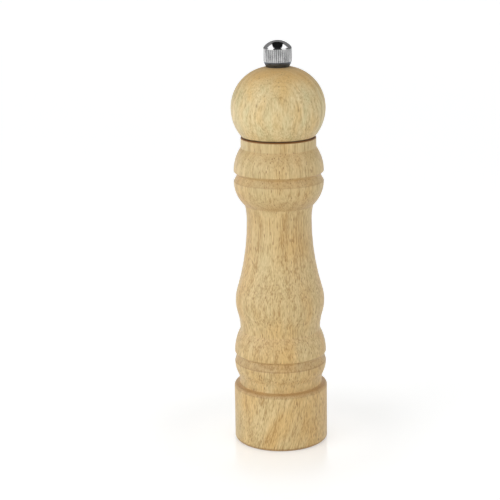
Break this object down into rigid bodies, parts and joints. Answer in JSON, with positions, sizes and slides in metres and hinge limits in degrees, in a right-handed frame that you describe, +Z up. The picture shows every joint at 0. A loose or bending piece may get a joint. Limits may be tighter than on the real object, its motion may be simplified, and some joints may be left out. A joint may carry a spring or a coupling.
{
  "type": "pepper mill",
  "caption": "Turned wooden pepper mill with a ball head that drives a toothed conical grinder through a square spindle, and a knurled cap nut that sets the grind.",
  "frame": {"origin": "middle of the foot's underside, on the mill's axis", "axes": "+Z up along the axis towards the knurled nut, +X towards one of the screws in the stator's flange"},
  "size_m": [0.05, 0.05, 0.2152],
  "materials": {
    "turned_wood": "satin clear-lacquered light wood",
    "plated_nut": "polished dome over a straight-knurled band",
    "bright_steel": "bright drawn steel",
    "hard_steel": "hardened steel, machined",
    "spring_steel": "spring steel wire",
    "zinc_screws": "zinc plated"
  },
  "bodies": {
    "body": {"body": "turned_wood", "stator": "hard_steel", "stator_screws": "zinc_screws", "bridge": "bright_steel", "bridge_rivets": "zinc_screws"},
    "thrust_washer": {"thrust_washer": "bright_steel"},
    "spindle": {"spindle": "bright_steel", "stop_pin": "bright_steel", "rotor": "hard_steel", "rotor_washer": "bright_steel", "rotor_screw": "zinc_screws", "spring": "spring_steel"},
    "head": {"head": "turned_wood", "drive_plate": "bright_steel", "drive_plate_screws": "zinc_screws"},
    "nut": {"adjusting_nut": "plated_nut"}
  },
  "joints": [
    {"name": "head_turn", "type": "hinge", "parent": "body", "child": "thrust_washer", "pos_m": [0, 0, 0.1656], "axis": [0, 0, 1], "continuous": true},
    {"name": "spindle_lift", "type": "slide", "parent": "thrust_washer", "child": "spindle", "axis": [0, 0, 1], "range_m": [-0.0012, 0.0008], "deforming": ["spring"]},
    {"name": "head_lift", "type": "slide", "parent": "thrust_washer", "child": "head", "axis": [0, 0, 1], "range_m": [0, 0.07]},
    {"name": "nut_turn", "type": "hinge", "parent": "head", "child": "nut", "pos_m": [0, 0, 0.2015], "axis": [0, 0, 1], "range_deg": [-360, 540]}
  ],
  "couplings": [
    {"joint": "nut_turn", "follows": "spindle_lift", "rad_per_m": -7854}
  ]
}
